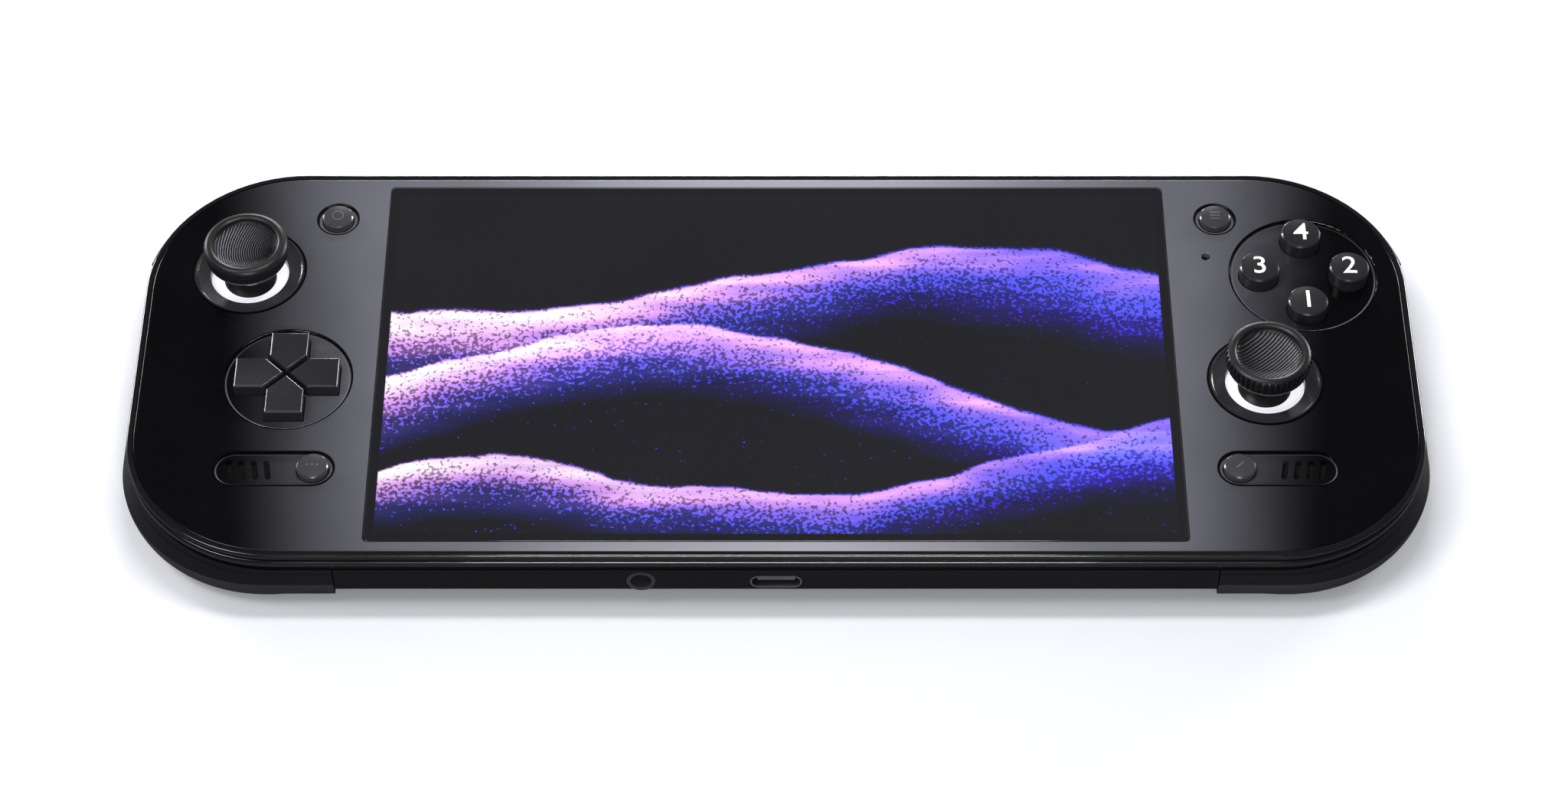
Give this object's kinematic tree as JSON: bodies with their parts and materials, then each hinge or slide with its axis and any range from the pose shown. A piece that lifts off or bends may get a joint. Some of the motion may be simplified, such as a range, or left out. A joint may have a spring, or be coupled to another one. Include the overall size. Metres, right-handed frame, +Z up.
{
  "type": "handheld game console",
  "caption": "Flat handheld game console with a wide screen between two thumb sticks, direction keys, face buttons, shoulder triggers and swelling hand grips underneath.",
  "frame": {"origin": "centre of the console's footprint on the table it lies on", "axes": "+X along the console to the player's right, +Y away from the player, +Z up out of the screen"},
  "size_m": [0.2282, 0.0883, 0.0227],
  "materials": {
    "cover_plastic": "satin",
    "frame_plastic": "polished",
    "shell_plastic": "fine grained",
    "screen": "polished",
    "key_plastic": "satin",
    "shoulder_plastic": "satin",
    "stick_rubber": "matte",
    "collar_plastic": "satin",
    "light_guide": "frosted",
    "board": "satin",
    "steel": "brushed",
    "alloy": "satin",
    "inner_plastic": "matte",
    "wrap": "matte",
    "membrane_rubber": "matte"
  },
  "bodies": {
    "root": {"action_button_membrane": "membrane_rubber", "battery": "wrap", "case_screws": "steel", "chassis_plate": "alloy", "direction_key_membrane": "membrane_rubber", "display_panel": "alloy", "fan_housing": "inner_plastic", "front_cover": "cover_plastic", "headphone_jack": "inner_plastic", "heat_sink": "alloy", "left_control_board": "board", "left_grip": "shell_plastic", "left_light_ring": "light_guide", "left_side_housing": "shell_plastic", "left_stick_collar": "collar_plastic", "left_stick_module": "steel", "main_board": "board", "middle_frame": "frame_plastic", "processor_shield": "steel", "rear_cover": "shell_plastic", "right_control_board": "board", "right_grip": "shell_plastic", "right_light_ring": "light_guide", "right_side_housing": "shell_plastic", "right_stick_collar": "collar_plastic", "right_stick_module": "steel", "rumble_motors": "steel", "screen_glass": "screen", "speaker_meshes": "steel", "speakers": "inner_plastic", "trigger_pins": "steel", "usb_port": "steel"},
    "left_stick_yoke": {"left_stick_yoke": "inner_plastic"},
    "left_stick_rocker": {"left_stick_rocker": "inner_plastic"},
    "left_stick": {"left_stick_shaft": "steel", "left_stick_cap": "stick_rubber"},
    "right_stick_yoke": {"right_stick_yoke": "inner_plastic"},
    "right_stick_rocker": {"right_stick_rocker": "inner_plastic"},
    "right_stick": {"right_stick_shaft": "steel", "right_stick_cap": "stick_rubber"},
    "direction_key_up": {"direction_key_up": "key_plastic"},
    "direction_key_down": {"direction_key_down": "key_plastic"},
    "direction_key_left": {"direction_key_left": "key_plastic"},
    "direction_key_right": {"direction_key_right": "key_plastic"},
    "action_button_north": {"action_button_north": "key_plastic"},
    "action_button_east": {"action_button_east": "key_plastic"},
    "action_button_south": {"action_button_south": "key_plastic"},
    "action_button_west": {"action_button_west": "key_plastic"},
    "left_upper_button": {"left_upper_button": "key_plastic"},
    "left_lower_button": {"left_lower_button": "key_plastic"},
    "right_upper_button": {"right_upper_button": "key_plastic"},
    "right_lower_button": {"right_lower_button": "key_plastic"},
    "left_bumper": {"left_bumper": "shoulder_plastic"},
    "left_trigger": {"left_trigger": "shoulder_plastic"},
    "right_bumper": {"right_bumper": "shoulder_plastic"},
    "right_trigger": {"right_trigger": "shoulder_plastic"},
    "power_button": {"power_button": "key_plastic"},
    "volume_key": {"volume_key": "key_plastic"},
    "fan_rotor": {"fan_rotor": "inner_plastic"}
  },
  "joints": [
    {"name": "left_stick_forward", "type": "hinge", "parent": "root", "child": "left_stick_yoke", "pos_m": [-0.0943, 0.0204, 0.007], "axis": [1, 0, 0], "range_deg": [-14, 14], "stiffness_Nm_per_rad": 0.05},
    {"name": "left_stick_sideways", "type": "hinge", "parent": "left_stick_yoke", "child": "left_stick_rocker", "pos_m": [-0.0943, 0.0204, 0.007], "axis": [0, 1, 0], "range_deg": [-14, 14], "stiffness_Nm_per_rad": 0.05},
    {"name": "left_stick_click", "type": "slide", "parent": "left_stick_rocker", "child": "left_stick", "axis": [0, 0, -1], "range_m": [0, 0.0004], "stiffness_N_per_m": 2000},
    {"name": "right_stick_forward", "type": "hinge", "parent": "root", "child": "right_stick_yoke", "pos_m": [0.0856, -0.005, 0.007], "axis": [1, 0, 0], "range_deg": [-14, 14], "stiffness_Nm_per_rad": 0.05},
    {"name": "right_stick_sideways", "type": "hinge", "parent": "right_stick_yoke", "child": "right_stick_rocker", "pos_m": [0.0856, -0.005, 0.007], "axis": [0, 1, 0], "range_deg": [-14, 14], "stiffness_Nm_per_rad": 0.05},
    {"name": "right_stick_click", "type": "slide", "parent": "right_stick_rocker", "child": "right_stick", "axis": [0, 0, -1], "range_m": [0, 0.0004], "stiffness_N_per_m": 2000},
    {"name": "direction_key_up_press", "type": "slide", "parent": "root", "child": "direction_key_up", "axis": [0, 0, -1], "range_m": [0, 0.0008], "stiffness_N_per_m": 400},
    {"name": "direction_key_down_press", "type": "slide", "parent": "root", "child": "direction_key_down", "axis": [0, 0, -1], "range_m": [0, 0.0008], "stiffness_N_per_m": 400},
    {"name": "direction_key_left_press", "type": "slide", "parent": "root", "child": "direction_key_left", "axis": [0, 0, -1], "range_m": [0, 0.0008], "stiffness_N_per_m": 400},
    {"name": "direction_key_right_press", "type": "slide", "parent": "root", "child": "direction_key_right", "axis": [0, 0, -1], "range_m": [0, 0.0008], "stiffness_N_per_m": 400},
    {"name": "action_button_north_press", "type": "slide", "parent": "root", "child": "action_button_north", "axis": [0, 0, -1], "range_m": [0, 0.001], "stiffness_N_per_m": 400},
    {"name": "action_button_east_press", "type": "slide", "parent": "root", "child": "action_button_east", "axis": [0, 0, -1], "range_m": [0, 0.001], "stiffness_N_per_m": 400},
    {"name": "action_button_south_press", "type": "slide", "parent": "root", "child": "action_button_south", "axis": [0, 0, -1], "range_m": [0, 0.001], "stiffness_N_per_m": 400},
    {"name": "action_button_west_press", "type": "slide", "parent": "root", "child": "action_button_west", "axis": [0, 0, -1], "range_m": [0, 0.001], "stiffness_N_per_m": 400},
    {"name": "left_upper_button_press", "type": "slide", "parent": "root", "child": "left_upper_button", "axis": [0, 0, -1], "range_m": [0, 0.0005], "stiffness_N_per_m": 400},
    {"name": "left_lower_button_press", "type": "slide", "parent": "root", "child": "left_lower_button", "axis": [0, 0, -1], "range_m": [0, 0.0005], "stiffness_N_per_m": 400},
    {"name": "right_upper_button_press", "type": "slide", "parent": "root", "child": "right_upper_button", "axis": [0, 0, -1], "range_m": [0, 0.0005], "stiffness_N_per_m": 400},
    {"name": "right_lower_button_press", "type": "slide", "parent": "root", "child": "right_lower_button", "axis": [0, 0, -1], "range_m": [0, 0.0005], "stiffness_N_per_m": 400},
    {"name": "left_bumper_press", "type": "slide", "parent": "root", "child": "left_bumper", "axis": [0.6, -0.8, 0], "range_m": [0, 0.0005], "stiffness_N_per_m": 400},
    {"name": "left_trigger_pull", "type": "hinge", "parent": "root", "child": "left_trigger", "pos_m": [-0.08785, 0.0382, 0.0086], "axis": [-1, 0, 0], "range_deg": [0, 11], "stiffness_Nm_per_rad": 0.05},
    {"name": "right_bumper_press", "type": "slide", "parent": "root", "child": "right_bumper", "axis": [-0.6, -0.8, 0], "range_m": [0, 0.0005], "stiffness_N_per_m": 400},
    {"name": "right_trigger_pull", "type": "hinge", "parent": "root", "child": "right_trigger", "pos_m": [0.08785, 0.0382, 0.0086], "axis": [-1, 0, 0], "range_deg": [0, 11], "stiffness_Nm_per_rad": 0.05},
    {"name": "power_button_press", "type": "slide", "parent": "root", "child": "power_button", "axis": [0, -1, 0], "range_m": [0, 0.0003], "stiffness_N_per_m": 400},
    {"name": "volume_key_rock", "type": "hinge", "parent": "root", "child": "volume_key", "pos_m": [-0.04, 0.04085, 0.0084], "axis": [0, 0, 1], "range_deg": [-1.5, 1.5], "stiffness_Nm_per_rad": 0.05},
    {"name": "fan_spin", "type": "hinge", "parent": "root", "child": "fan_rotor", "pos_m": [0.045, 0.0105, 0.0078], "axis": [0, 0, 1], "continuous": true}
  ]
}
